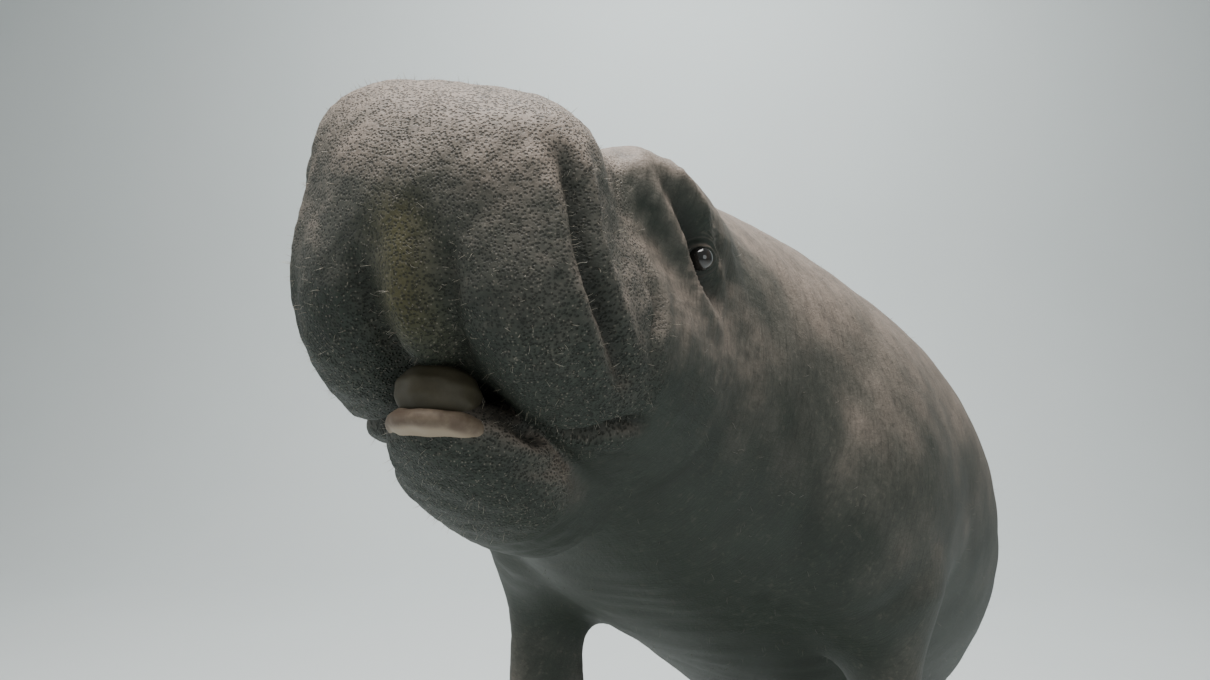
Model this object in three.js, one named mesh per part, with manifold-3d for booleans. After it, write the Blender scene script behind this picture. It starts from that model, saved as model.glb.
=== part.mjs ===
// A life-size Florida manatee that lifts its snout to breathe, held over a plain display stand.
// Millimetres, +Z up. The origin is the middle of the stand's underside, and the head points to -Y.
//
// The animal is drawn straight first, in its own body frame: +X is the animal's left, +Y runs from the
// snout to the tail, +Z is its back. One field tells how far a point lies outside the skin. A lattice
// walks that field for each part of the body, flat cuts part it, and a bent spine then sets the pose.
import * as THREE from "three";
import Module from "manifold-3d";
import { mergeVertices } from "three/addons/utils/BufferGeometryUtils.js";

const wasm = await Module();
wasm.setup();

// Driving dimensions of the animal
const LENGTH = 3000;
const GAP = 0.3;
const SKIN_GAP = 0.4;
const WELD = 0.05;
const SKIN = "#8a8078";
const LIP = "#a08a78";
const EYE_COLOUR = "#1d1712";
const BASE_COLOUR = "#2b2c2e";
const ROD_COLOUR = "#9a9c9e";
const BASE = { width: 760, depth: 1500, corner: 60, thick: 22 };
const ROD = { front: 1260, rear: 1900, radius: 27, sunk: 70, sides: 24 };

// Where the body is parted, as distances from the snout
const MUZZLE_CUT = 236;
const NECK_CUT = 430;
const CHEST_CUT = 590;
const BELLY_CUT = 1130;
const LOIN_CUT = 1700;
const PADDLE_CUT = 2260;
const FLIPPER_CUT = { lean: 40, clear: 8, widest: 1080 };

// Sizes of the lattice cells
const HEAD_REACH = [225, 265];
const CELL = { nose: 17, head: 25, jaw: 26, pad: 15, neck: 44, chest: 56, belly: 78, stock: 68 };
const PADDLE_CELL = [52, 52, 14];
const FLIPPER_CELL = [25, 14, 26];

const EYE = { y: 273, z: 54, radius: 12, sunk: 5 };
const LID = { clear: 2, thick: 6, out: 2 };
const NOSTRIL = { x: 38, y: 66, size: [17, 5, 10], turn: 24 };
const NAIL = { size: [9, 6, 14], places: [[-30, 458], [-3, 470], [24, 458]], out: 8 };

// Pose, in degrees along the spine: how far the tailward direction dips, and how far it turns to -X
const DIP = [
  [0, 20], [300, 19], [600, 17], [980, 20], [1350, 35], [1750, 43], [2100, 44], [2500, 28], [3000, 8],
];
const TURN = [[0, 5], [300, 5], [600, 0], [1000, 1], [1400, 7], [1900, 11], [2500, 8], [3000, 4]];
const SHOULDER_Y = 750;
const SHOULDER_PLACE = new THREE.Vector3(0, -560, 1220);

// Profile of the trunk: distance from the snout, half width, back height, belly depth
const TRUNK = [
  [150, 114, 100, 100],
  [270, 152, 160, 158],
  [400, 188, 212, 205],
  [560, 240, 243, 252],
  [760, 300, 266, 300],
  [1010, 350, 288, 330],
  [1270, 370, 292, 332],
  [1530, 344, 280, 304],
  [1790, 298, 242, 252],
  [2030, 228, 176, 176],
  [2230, 168, 112, 112],
  [2400, 150, 62, 62],
  [2600, 120, 32, 32],
  [2860, 40, 10, 10],
];
const TRUNK_END = 2860;
const TRUNK_SQUARE = 2.2;
const MID_HEIGHT = 0.48;
const TRUNK_START = 150;
const NOSE_ROUND = 80;

const clamp = (v, lo, hi) => Math.min(hi, Math.max(lo, v));
const rad = THREE.MathUtils.degToRad;

// Smooth union over a blend k wide
function join(a, b, k) {
  const h = Math.max(k - Math.abs(a - b), 0) / k;
  return Math.min(a, b) - (h * h * k) / 4;
}

// Smooth curve through a table of rows [y, value, ...], read at y, for one column
function along(table, y, column = 1) {
  const last = table.length - 1;
  const at = clamp(y, table[0][0], table[last][0]);
  let i = 0;
  while (i < last - 1 && at > table[i + 1][0]) i++;
  const slope = (n) => {
    const a = table[Math.max(n - 1, 0)];
    const b = table[Math.min(n + 1, last)];
    return (b[column] - a[column]) / (b[0] - a[0]);
  };
  const [p, q] = [table[i], table[i + 1]];
  const span = q[0] - p[0];
  const t = (at - p[0]) / span;
  const t2 = t * t;
  const t3 = t2 * t;
  return (2 * t3 - 3 * t2 + 1) * p[column] + (t3 - 2 * t2 + t) * span * slope(i)
    + (3 * t2 - 2 * t3) * q[column] + (t3 - t2) * span * slope(i + 1);
}

// Distance outside a round form: a squareness of 2 is an ellipsoid, and more makes it boxier.
// It leans back by a pitch about X, and its lower end swings outwards by a splay about Y.
function round(centre, radii, { pitch = 0, splay = 0, square = 2 } = {}) {
  const [cx, cy, cz] = centre;
  const [rx, ry, rz] = radii;
  const [cp, sp] = [Math.cos(rad(pitch)), Math.sin(rad(pitch))];
  const [cs, ss] = [Math.cos(rad(splay)), Math.sin(rad(splay))];
  return (x, y, z) => {
    const dx = cs * (x - cx) + ss * (z - cz);
    const up = cs * (z - cz) - ss * (x - cx);
    const dy = cp * (y - cy) + sp * up;
    const dz = cp * up - sp * (y - cy);
    const ring = (Math.abs(dx / rx) ** square + Math.abs(dz / rz) ** square) ** (1 / square);
    const g = Math.hypot(ring, dy / ry);
    const r = Math.hypot(dx, dy, dz);
    return g < 1e-6 ? -Math.min(rx, ry, rz) : r - r / g;
  };
}

// The trunk: superellipse sections along the body, rounded off inside the muzzle
function trunk(x, y, z) {
  const ahead = clamp((TRUNK_START - y) / NOSE_ROUND, 0, 0.999);
  const close = Math.sqrt(1 - ahead * ahead);
  const half = along(TRUNK, y, 1) * close;
  const top = along(TRUNK, y, 2) * close;
  const bottom = along(TRUNK, y, 3) * close;
  const middle = MID_HEIGHT * (top + bottom) - bottom;
  const dz = z - middle;
  const tall = dz > 0 ? top - middle : middle + bottom;
  const across = Math.abs(x / half) ** TRUNK_SQUARE;
  const g = (across + Math.abs(dz / tall) ** TRUNK_SQUARE) ** (1 / TRUNK_SQUARE);
  if (g < 1e-3) return -Math.min(half, tall);
  const r = Math.hypot(x, dz);
  return Math.max(r - r / g, TRUNK_START - NOSE_ROUND - y, y - TRUNK_END);
}

// The tail paddle: a round, flat spatula, thin at its rim
const PADDLE = { y: 2630, halfLength: 370, halfWidth: 335, thick: 38, square: 2.3 };
function paddle(x, y, z) {
  const { halfLength, halfWidth, thick, square } = PADDLE;
  const across = Math.abs(x / halfWidth) ** square;
  const r = (across + Math.abs((y - PADDLE.y) / halfLength) ** square) ** (1 / square);
  return thick * (Math.hypot(z / thick, r) - 1);
}

// The muzzle leans back going down: its pieces are placed in a frame tilted about X
const MUZZLE = { y: 112, z: 0, tilt: 32 };
function inMuzzle(x, y, z) {
  return [x, MUZZLE.y + y * Math.cos(rad(MUZZLE.tilt)) - z * Math.sin(rad(MUZZLE.tilt)),
    MUZZLE.z + z * Math.cos(rad(MUZZLE.tilt)) + y * Math.sin(rad(MUZZLE.tilt))];
}
const NOSE = { centre: inMuzzle(-10, 10, 29), radii: [134, 100, 105] };
const noseDome = round(NOSE.centre, NOSE.radii, { pitch: MUZZLE.tilt, splay: -12, square: 3.2 });
const lipLobe = round(inMuzzle(72, -12, -40), [62, 84, 96], { pitch: MUZZLE.tilt, splay: 13 });
const lipMiddle = round(inMuzzle(0, -50, -26), [27, 54, 72], { pitch: MUZZLE.tilt });
const cheek = round([92, 262, -62], [74, 130, 92]);
const chin = round([0, 226, -177], [76, 132, 47], { pitch: -13 });
const palatePad = round([0, 116, -130], [35, 34, 26]);
const lipPad = round([0, 128, -157], [45, 42, 20]);
const brow = round([100, 292, 94], [58, 126, 58]);
const shoulder = round([232, 800, -90], [88, 180, 170]);

function muzzle(x, y, z) {
  const lobes = join(lipLobe(x, y, z), lipLobe(-x, y, z), 26);
  return join(join(noseDome(x, y, z), lobes, 44), lipMiddle(x, y, z), 22);
}

// A flipper hangs from the shoulder. Its own frame: s along it, c across its blade, n through it
const FLIPPER = {
  root: new THREE.Vector3(254, 826, -190),
  inwards: -2,
  back: 18,
  twist: 28,
  length: 500,
  bow: 26,
};
// Profile of a flipper: distance along it, half width, half thickness
const BLADE = [[0, 78, 58], [110, 64, 44], [200, 66, 34], [330, 80, 25], [420, 74, 18], [500, 44, 12]];
const BLADE_END = 70;
const flipperFrame = (() => {
  const turn = new THREE.Matrix4().makeRotationY(rad(FLIPPER.inwards))
    .multiply(new THREE.Matrix4().makeRotationX(rad(FLIPPER.back)))
    .multiply(new THREE.Matrix4().makeRotationZ(rad(FLIPPER.twist)));
  const n = new THREE.Vector3(1, 0, 0).applyMatrix4(turn);
  const c = new THREE.Vector3(0, 1, 0).applyMatrix4(turn);
  const s = new THREE.Vector3(0, 0, -1).applyMatrix4(turn);
  return { s, c, n };
})();
function flipper(x, y, z) {
  const p = new THREE.Vector3(x, y, z).sub(FLIPPER.root);
  const s = p.dot(flipperFrame.s);
  const bent = (s / FLIPPER.length) ** 2 * FLIPPER.bow;
  const c = p.dot(flipperFrame.c) - bent;
  const n = p.dot(flipperFrame.n) + bent;
  const past = clamp((s - FLIPPER.length + BLADE_END) / BLADE_END, 0, 0.999);
  const behind = clamp(-s / BLADE_END, 0, 0.999);
  const close = Math.sqrt(1 - past * past) * Math.sqrt(1 - behind * behind);
  const half = along(BLADE, s, 1) * close;
  const thick = along(BLADE, s, 2) * close;
  const g = Math.hypot(c / half, n / thick);
  if (g < 1e-3) return -thick;
  const r = Math.hypot(c, n);
  return Math.max(r - r / g, s - FLIPPER.length, -s - BLADE_END);
}

// Everything but the lower jaw
function upperBody(x, y, z) {
  const side = Math.abs(x);
  let d = trunk(x, y, z);
  if (y < 620) {
    d = join(d, muzzle(x, y, z), 40);
    d = join(d, cheek(side, y, z), 60);
    d = join(d, brow(side, y, z), 60);
  }
  if (y > 1900) d = join(d, paddle(x, y, z), 60);
  if (y > 350 && y < 1500) {
    d = join(d, shoulder(side, y, z), 90);
    d = join(d, flipper(side, y, z), 60);
  }
  return d;
}

function flesh(x, y, z) {
  return join(upperBody(x, y, z), chin(x, y, z), 14);
}

// Spine: the place and frame of each section in the posed animal
const STEP = 10;
const spine = (() => {
  const frameAt = (y) => {
    const dip = rad(along(DIP, y));
    const turn = rad(along(TURN, y));
    const level = new THREE.Vector3(-Math.sin(turn), Math.cos(turn), 0);
    const back = level.multiplyScalar(Math.cos(dip)).setZ(-Math.sin(dip));
    const left = new THREE.Vector3(Math.cos(turn), Math.sin(turn), 0);
    return { back, left, up: new THREE.Vector3().crossVectors(left, back) };
  };
  const walk = (from, to) => {
    const place = SHOULDER_PLACE.clone();
    const sign = Math.sign(to - from);
    const places = [];
    for (let y = from; sign * (to - y) >= 0; y += sign * STEP) {
      places.push([y, place.clone()]);
      place.addScaledVector(frameAt(y + (sign * STEP) / 2).back, sign * STEP);
    }
    return places;
  };
  const places = [...walk(SHOULDER_Y, -100).reverse(), ...walk(SHOULDER_Y, LENGTH + 100).slice(1)];
  return { places, frameAt };
})();
function posed(x, y, z) {
  const at = clamp((y - spine.places[0][0]) / STEP, 0, spine.places.length - 1.001);
  const i = Math.floor(at);
  const { back, left, up } = spine.frameAt(y);
  return spine.places[i][1].clone().lerp(spine.places[i + 1][1], at - i)
    .addScaledVector(left, x).addScaledVector(up, z);
}

// Surface net: one vertex in each lattice cell that the skin crosses, drawn on to the skin, joined in quads
function surfaceNet(field, place, [nx, ny, nz]) {
  const node = (i, j, k) => (i * ny + j) * nz + k;
  const points = [];
  const values = new Float64Array(nx * ny * nz);
  for (let i = 0; i < nx; i++) {
    for (let j = 0; j < ny; j++) {
      for (let k = 0; k < nz; k++) {
        const p = place(i / (nx - 1), j / (ny - 1), k / (nz - 1));
        points.push(p);
        const edge = i === 0 || j === 0 || k === 0 || i === nx - 1 || j === ny - 1 || k === nz - 1;
        const v = field(...p);
        values[node(i, j, k)] = edge ? Math.max(v, 1) : v;
      }
    }
  }
  const corners = [0, 1, 2, 3, 4, 5, 6, 7].map((n) => [n & 1, (n >> 1) & 1, n >> 2]);
  const cellVertex = new Map();
  const vertices = [];
  for (let i = 0; i < nx - 1; i++) {
    for (let j = 0; j < ny - 1; j++) {
      for (let k = 0; k < nz - 1; k++) {
        const ids = corners.map(([a, b, c]) => node(i + a, j + b, k + c));
        const inside = ids.filter((id) => values[id] < 0).length;
        if (inside === 0 || inside === 8) continue;
        const sum = [0, 0, 0];
        let count = 0;
        for (let a = 0; a < 8; a++) {
          for (const bit of [1, 2, 4]) {
            if (a & bit) continue;
            const [p, q] = [ids[a], ids[a | bit]];
            if (values[p] < 0 === values[q] < 0) continue;
            const t = values[p] / (values[p] - values[q]);
            for (let m = 0; m < 3; m++) sum[m] += points[p][m] + t * (points[q][m] - points[p][m]);
            count++;
          }
        }
        cellVertex.set(node(i, j, k), vertices.length);
        vertices.push(sum.map((v) => v / count));
      }
    }
  }
  const quads = [];
  const axes = [[1, 0, 0], [0, 1, 0], [0, 0, 1]];
  for (let i = 0; i < nx - 1; i++) {
    for (let j = 0; j < ny - 1; j++) {
      for (let k = 0; k < nz - 1; k++) {
        const here = values[node(i, j, k)] < 0;
        for (let m = 0; m < 3; m++) {
          const [u, v] = [axes[(m + 1) % 3], axes[(m + 2) % 3]];
          const [a, b, c] = axes[m];
          if (here === values[node(i + a, j + b, k + c)] < 0) continue;
          const cell = (du, dv) => cellVertex.get(
            node(i - du * u[0] - dv * v[0], j - du * u[1] - dv * v[1], k - du * u[2] - dv * v[2]));
          const ring = [cell(1, 1), cell(0, 1), cell(0, 0), cell(1, 0)];
          quads.push(here ? ring : ring.reverse());
        }
      }
    }
  }
  settle(field, vertices, quads);
  return { vertices, quads, field };
}

// How fast a field grows along each axis, at a point
function slopeOf(field, p) {
  const e = 0.5;
  return [0, 1, 2].map((m) => {
    const [a, b] = [[...p], [...p]];
    a[m] += e;
    b[m] -= e;
    return (field(...a) - field(...b)) / (2 * e);
  });
}

// Evens the net out and draws its vertices on to the skin
function settle(field, vertices, quads) {
  const near = vertices.map((p) => Math.abs(field(...p)) < 12);
  for (let round = 0; round < 3; round++) {
    const sums = vertices.map(() => [0, 0, 0, 0]);
    for (const q of quads) {
      for (let n = 0; n < 4; n++) {
        const other = vertices[q[(n + 1) % 4]];
        const back = vertices[q[(n + 3) % 4]];
        const s = sums[q[n]];
        for (let m = 0; m < 3; m++) s[m] += other[m] + back[m];
        s[3] += 2;
      }
    }
    vertices.forEach((p, n) => {
      if (!near[n] || !sums[n][3]) return;
      for (let m = 0; m < 3; m++) p[m] += 0.5 * (sums[n][m] / sums[n][3] - p[m]);
      for (let pull = 0; pull < 2; pull++) {
        const d = field(...p);
        const g = slopeOf(field, p);
        const size = g[0] ** 2 + g[1] ** 2 + g[2] ** 2;
        const step = clamp(d / Math.max(size, 0.05), -8, 8);
        for (let m = 0; m < 3; m++) p[m] -= step * g[m];
      }
    });
  }
}

function solidFrom(vertices, triangles) {
  return new wasm.Manifold(new wasm.Mesh({
    numProp: 3,
    vertProperties: Float32Array.from(vertices.flat()),
    triVerts: Uint32Array.from(triangles.flat()),
  }));
}
// The solid inside a net, or one whose skin lies a little further out all over
function netSolid({ vertices, quads, field }, grow = 0) {
  const far = (a, b) => Math.hypot(...vertices[a].map((v, m) => v - vertices[b][m]));
  const triangles = quads.flatMap(([a, b, c, d]) => (far(a, c) < far(b, d)
    ? [[a, b, c], [a, c, d]] : [[a, b, d], [b, c, d]]));
  if (!grow) return solidFrom(vertices, triangles);
  return solidFrom(vertices.map((p) => {
    const g = slopeOf(field, p);
    const size = Math.max(Math.hypot(...g), 0.05);
    return p.map((v, m) => v + (grow * g[m]) / size);
  }), triangles);
}

// The lattice of a length of the body, a little wider than the skin. A bias makes it finer at its front,
// and it can gather towards the middle line.
function bodyLattice([y0, y1], cell, reach, bias = 1, gather = 1) {
  const n = Math.max(4, Math.ceil((y1 - y0) / cell) + 1);
  const sizes = [y0, (y0 + y1) / 2, y1].map((y) => reach(y));
  const across = 2 * Math.ceil(Math.max(...sizes.map(([half]) => half)) / cell) + 1;
  const up = 2 * Math.ceil(Math.max(...sizes.map(([, tall]) => tall)) / cell) + 1;
  const place = (u, v, w) => {
    const y = y0 + v ** bias * (y1 - y0);
    const [half, tall] = reach(y);
    const out = Math.sign(u - 0.5) * Math.abs(2 * u - 1) ** gather;
    return [out * half, y, (2 * w - 1) * tall];
  };
  return [place, [across, n, up]];
}
const trunkReach = (y) => [
  along(TRUNK, y, 1) * 1.15 + 40, Math.max(along(TRUNK, y, 2), along(TRUNK, y, 3)) * 1.15 + 40];

// Straight box of cells round a form, between two corners
function boxLattice(low, high, cell) {
  const cells = Array.isArray(cell) ? cell : [cell, cell, cell];
  const counts = low.map((v, m) => Math.ceil((high[m] - v) / cells[m]) + 1);
  return [(...t) => low.map((v, m) => v + t[m] * (high[m] - v)), counts];
}

// Box of cells in the flipper's own frame
function flipperLattice(cell) {
  const [place, counts] = boxLattice([-130, -110, -90], [130, 110, FLIPPER.length + 30], cell);
  const { s, c, n } = flipperFrame;
  return [(...t) => {
    const [chord, across, out] = place(...t);
    const p = FLIPPER.root.clone().addScaledVector(c, chord).addScaledVector(n, across);
    return p.addScaledVector(s, out).toArray();
  }, counts];
}

const mirrored = ({ vertices, quads }) => ({
  vertices: vertices.map(([x, y, z]) => [-x, y, z]), quads: quads.map((q) => [...q].reverse()) });

// A three.js geometry as a solid, after a placing matrix
function solidOf(geometry, matrix = new THREE.Matrix4()) {
  const plain = geometry.clone();
  plain.deleteAttribute("normal");
  plain.deleteAttribute("uv");
  plain.applyMatrix4(matrix);
  const welded = mergeVertices(plain, 1e-3);
  return new wasm.Manifold(new wasm.Mesh({
    numProp: 3,
    vertProperties: welded.attributes.position.array,
    triVerts: Uint32Array.from(welded.index.array),
  }));
}
const moved = (x, y, z, rx = 0, ry = 0, rz = 0) => new THREE.Matrix4()
  .makeRotationFromEuler(new THREE.Euler(rad(rx), rad(ry), rad(rz))).setPosition(x, y, z);

// The part of a solid between two cuts across the body, which stay flat when the body is bent
function between(solid, from, to) {
  return largest(solid.trimByPlane([0, 1, 0], from + GAP / 2).trimByPlane([0, -1, 0], -to + GAP / 2));
}
function largest(solid) {
  return solid.decompose().reduce((a, b) => (a.volume() > b.volume() ? a : b));
}

const group = new THREE.Group();
group.name = "manatee";
function addMesh(name, geometry, colour, roughness = 0.7, metalness = 0) {
  geometry.computeVertexNormals();
  const finish = new THREE.MeshStandardMaterial({ color: colour, roughness, metalness });
  const made = new THREE.Mesh(geometry, finish);
  made.name = name;
  group.add(made);
}
// Bends a piece of the body into its pose, and sinks the sockets of any rods into it
function addBody(name, straight, { colour = SKIN, roughness = 0.7, sockets = [] } = {}) {
  const mesh = largest(straight).getMesh();
  const positions = new Float32Array(mesh.numVert * 3);
  for (let i = 0; i < mesh.numVert; i++) {
    const p = posed(...mesh.vertProperties.subarray(i * mesh.numProp, i * mesh.numProp + 3));
    positions.set([p.x, p.y, p.z], i * 3);
  }
  const bent = new wasm.Mesh({ numProp: 3, vertProperties: positions, triVerts: mesh.triVerts });
  let solid = new wasm.Manifold(bent);
  for (const socket of sockets) solid = solid.subtract(socket);
  const made = largest(solid).getMesh();
  const geometry = new THREE.BufferGeometry();
  geometry.setAttribute("position", new THREE.BufferAttribute(made.vertProperties, 3));
  geometry.setIndex(new THREE.BufferAttribute(made.triVerts, 1));
  addMesh(name, withoutSlivers(geometry), colour, roughness);
}

// Welds the near-touching corners that a cut leaves, and drops the faces that this closes up
function withoutSlivers(geometry) {
  const welded = mergeVertices(geometry, WELD);
  const kept = [];
  const index = welded.index.array;
  for (let t = 0; t < index.length; t += 3) {
    const [a, b, c] = index.subarray(t, t + 3);
    if (a !== b && b !== c && c !== a) kept.push(a, b, c);
  }
  welded.setIndex(kept);
  return welded;
}

// A rod stands under the body's middle line, at a distance from the snout, and ends sunk in its underside
function rodPlace(y) {
  const place = posed(0, y, -along(TRUNK, y, 3));
  return { place, top: place.z + ROD.sunk };
}
function rod(y, grow = 0) {
  const { place, top } = rodPlace(y);
  const shaft = new THREE.CylinderGeometry(ROD.radius + grow, ROD.radius + grow, top, ROD.sides);
  return solidOf(shaft, moved(place.x, place.y, top / 2 + grow, 90, 0, 0));
}

// Eyes: a ball set in the side of the head, with a ring of lid raised round it
const eyeX = (() => {
  let x = 100;
  while (upperBody(x, EYE.y, EYE.z) < 0) x += 0.5;
  return x - EYE.sunk;
})();
function eyeBall(side, grow = 0) {
  return solidOf(new THREE.IcosahedronGeometry(EYE.radius + grow, 2), moved(side * eyeX, EYE.y, EYE.z));
}
function eyeLids(side) {
  const ring = new THREE.TorusGeometry(EYE.radius + LID.clear, LID.thick, 6, 14);
  return solidOf(ring, moved(side * (eyeX + LID.out), EYE.y, EYE.z, 0, side * 90, 0));
}

// A ball stretched along three directions, as a solid
function stretchedBall([rx, ry, rz], place) {
  const stretch = new THREE.Matrix4().makeScale(rx, ry, rz);
  return solidOf(new THREE.SphereGeometry(1, 10, 6), place.multiply(stretch));
}

// Nostrils: two slits on the top of the nose, closer together at their front
function nostril(side) {
  let z = 250;
  while (upperBody(side * NOSTRIL.x, NOSTRIL.y, z) > 0) z -= 0.5;
  return stretchedBall(NOSTRIL.size, moved(side * NOSTRIL.x, NOSTRIL.y, z, 0, 0, side * NOSTRIL.turn));
}

// Head: the upper lip and nose, the rest of the head, the lower jaw, the mouth's two pads and the eyes
function headNet(range, cell, bias, gather) {
  return surfaceNet(upperBody, ...bodyLattice(range, cell, () => HEAD_REACH, bias, gather));
}
const noseNet = headNet([-20, MUZZLE_CUT + 90], CELL.nose, 1.2, 1.35);
const skullNet = headNet([MUZZLE_CUT - 90, NECK_CUT + 50], CELL.head, 1, 1);
let head = netSolid(skullNet);
for (const side of [1, -1]) head = head.add(eyeLids(side)).subtract(eyeBall(side, GAP));
const nose = between(netSolid(noseNet), -LENGTH, MUZZLE_CUT);
addBody("nose_and_upper_lip", nose.subtract(nostril(1)).subtract(nostril(-1)));
addBody("head", between(head, MUZZLE_CUT, NECK_CUT));

const upperGrown = [netSolid(noseNet, SKIN_GAP), netSolid(skullNet, SKIN_GAP)];
function mouthPiece(net, taken, grow = 0) {
  return [...upperGrown, ...taken].reduce((solid, other) => solid.subtract(other), netSolid(net, grow));
}
const jawNet = surfaceNet(chin, ...boxLattice([-120, 60, -260], [120, 370, -70], CELL.jaw));
const lipNet = surfaceNet(lipPad, ...boxLattice([-75, 55, -190], [75, 180, -110], CELL.pad));
const palateNet = surfaceNet(palatePad, ...boxLattice([-60, 50, -170], [60, 160, -85], CELL.pad));
const jawGrown = netSolid(jawNet, SKIN_GAP);
addBody("lower_jaw", mouthPiece(jawNet, []));
addBody("lower_lip_pad", mouthPiece(lipNet, [jawGrown]), { colour: LIP });
addBody("palate_pad", mouthPiece(palateNet, [jawGrown, netSolid(lipNet, SKIN_GAP)]), { colour: LIP });
addBody("eye_left", eyeBall(1), { colour: EYE_COLOUR, roughness: 0.15 });
addBody("eye_right", eyeBall(-1), { colour: EYE_COLOUR, roughness: 0.15 });

// Flippers: a flat cut just clear of the trunk's side parts each from the shoulder that it grows from
const flipperCut = (() => {
  const normal = [Math.sin(rad(FLIPPER_CUT.lean)), -Math.cos(rad(FLIPPER_CUT.lean))];
  const [half, top, bottom] = [1, 2, 3].map((n) => along(TRUNK, FLIPPER_CUT.widest, n));
  const middle = MID_HEIGHT * (top + bottom) - bottom;
  const bend = (v) => Math.sign(v) * Math.abs(v) ** (2 / TRUNK_SQUARE);
  let reach = 0;
  for (let t = 0; t < 360; t += 2) {
    const x = half * bend(Math.cos(rad(t)));
    const z = middle - (middle + bottom) * bend(Math.sin(rad(t)));
    reach = Math.max(reach, x * normal[0] + z * normal[1]);
  }
  return { normal, offset: reach + FLIPPER_CUT.clear };
})();
function cutAtFlipper(solid, side, outside) {
  const [nx, nz] = flipperCut.normal;
  return outside
    ? solid.trimByPlane([side * nx, 0, nz], flipperCut.offset + GAP)
    : solid.trimByPlane([-side * nx, 0, -nz], -flipperCut.offset);
}
const bladeNet = surfaceNet(flesh, ...flipperLattice(FLIPPER_CELL));

// Three nails stand on the outer face of each flipper, just behind its tip
function nails(side) {
  const sided = (v) => v.clone().multiply(new THREE.Vector3(side, 1, 1));
  const { s, c, n } = flipperFrame;
  return NAIL.places.map(([chord, out]) => {
    const bent = (out / FLIPPER.length) ** 2 * FLIPPER.bow;
    const at = FLIPPER.root.clone().addScaledVector(s, out)
      .addScaledVector(c, chord + bent).addScaledVector(n, NAIL.out - bent);
    const place = new THREE.Matrix4().makeBasis(sided(c), sided(n), sided(s).multiplyScalar(side));
    return stretchedBall(NAIL.size, place.setPosition(sided(at)));
  });
}
for (const [name, side] of [["flipper_left", 1], ["flipper_right", -1]]) {
  const blade = cutAtFlipper(netSolid(side > 0 ? bladeNet : mirrored(bladeNet)), side, true);
  addBody(name, nails(side).reduce((solid, nail) => solid.add(nail), blade));
}

// Trunk: neck, chest, belly, tail stock and paddle, from front to back
function length(from, to, cell, reach = trunkReach, spare = 90) {
  return netSolid(surfaceNet(flesh, ...bodyLattice([from - spare, to + spare], cell, reach)));
}
addBody("neck", between(length(NECK_CUT, CHEST_CUT, CELL.neck, trunkReach, 60), NECK_CUT, CHEST_CUT));
let chest = length(CHEST_CUT, BELLY_CUT, CELL.chest, (y) => [trunkReach(y)[0] + 40, 470]);
for (const side of [1, -1]) chest = cutAtFlipper(chest, side, false);
addBody("chest", between(chest, CHEST_CUT, BELLY_CUT));
const belly = between(length(BELLY_CUT, LOIN_CUT, CELL.belly), BELLY_CUT, LOIN_CUT);
const tailStock = between(length(LOIN_CUT, PADDLE_CUT, CELL.stock), LOIN_CUT, PADDLE_CUT);
addBody("belly", belly, { sockets: [rod(ROD.front, GAP)] });
addBody("tail_stock", tailStock, { sockets: [rod(ROD.rear, GAP)] });
const [spatulaLow, spatulaHigh] = [[-370, PADDLE_CUT - 70, -150], [370, 3030, 150]];
const spatula = surfaceNet(flesh, ...boxLattice(spatulaLow, spatulaHigh, PADDLE_CELL));
addBody("tail_paddle", between(netSolid(spatula), PADDLE_CUT, 2 * LENGTH));

// Display stand: a flat base on the floor, and two rods up into sockets in the underside
const base = new THREE.Shape();
const { width, depth, corner, thick } = BASE;
base.moveTo(-width / 2 + corner, -depth / 2);
base.lineTo(width / 2 - corner, -depth / 2);
base.absarc(width / 2 - corner, -depth / 2 + corner, corner, -Math.PI / 2, 0);
base.absarc(width / 2 - corner, depth / 2 - corner, corner, 0, Math.PI / 2);
base.absarc(-width / 2 + corner, depth / 2 - corner, corner, Math.PI / 2, Math.PI);
base.absarc(-width / 2 + corner, -depth / 2 + corner, corner, Math.PI, 1.5 * Math.PI);
const slab = new THREE.ExtrudeGeometry(base, { depth: thick, bevelEnabled: false, curveSegments: 6 });
addMesh("stand_base", slab, BASE_COLOUR, 0.5);
for (const name of ["front", "rear"]) {
  const { place, top } = rodPlace(ROD[name]);
  const shaft = new THREE.CylinderGeometry(ROD.radius, ROD.radius, top - thick - GAP, ROD.sides);
  shaft.applyMatrix4(moved(place.x, place.y, (top + thick + GAP) / 2, 90, 0, 0));
  addMesh(`stand_rod_${name}`, shaft, ROD_COLOUR, 0.3, 0.9);
}

export default group;
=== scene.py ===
# %% [markdown]
# # A life-size manatee
# The animal lifts its snout while the rest of it hangs below, as in the photograph. It is held over a flat
# base by two rods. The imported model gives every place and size, and this lesson gives it a skin.

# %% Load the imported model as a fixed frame
import math

import bmesh
import bpy
import numpy as np

from mathutils import Matrix, Vector


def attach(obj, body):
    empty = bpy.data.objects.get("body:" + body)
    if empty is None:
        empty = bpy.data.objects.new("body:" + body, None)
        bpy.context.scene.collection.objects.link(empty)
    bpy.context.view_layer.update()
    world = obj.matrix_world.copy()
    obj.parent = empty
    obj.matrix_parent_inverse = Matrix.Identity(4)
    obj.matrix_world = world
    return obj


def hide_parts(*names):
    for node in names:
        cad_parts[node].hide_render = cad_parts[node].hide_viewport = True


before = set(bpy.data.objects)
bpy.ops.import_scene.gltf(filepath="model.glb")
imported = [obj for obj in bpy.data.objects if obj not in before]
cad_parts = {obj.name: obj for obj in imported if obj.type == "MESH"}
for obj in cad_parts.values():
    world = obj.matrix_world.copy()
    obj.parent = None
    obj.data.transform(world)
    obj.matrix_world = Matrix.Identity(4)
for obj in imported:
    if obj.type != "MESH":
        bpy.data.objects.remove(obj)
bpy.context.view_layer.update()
print("packed nodes:", sorted(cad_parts))

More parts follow.
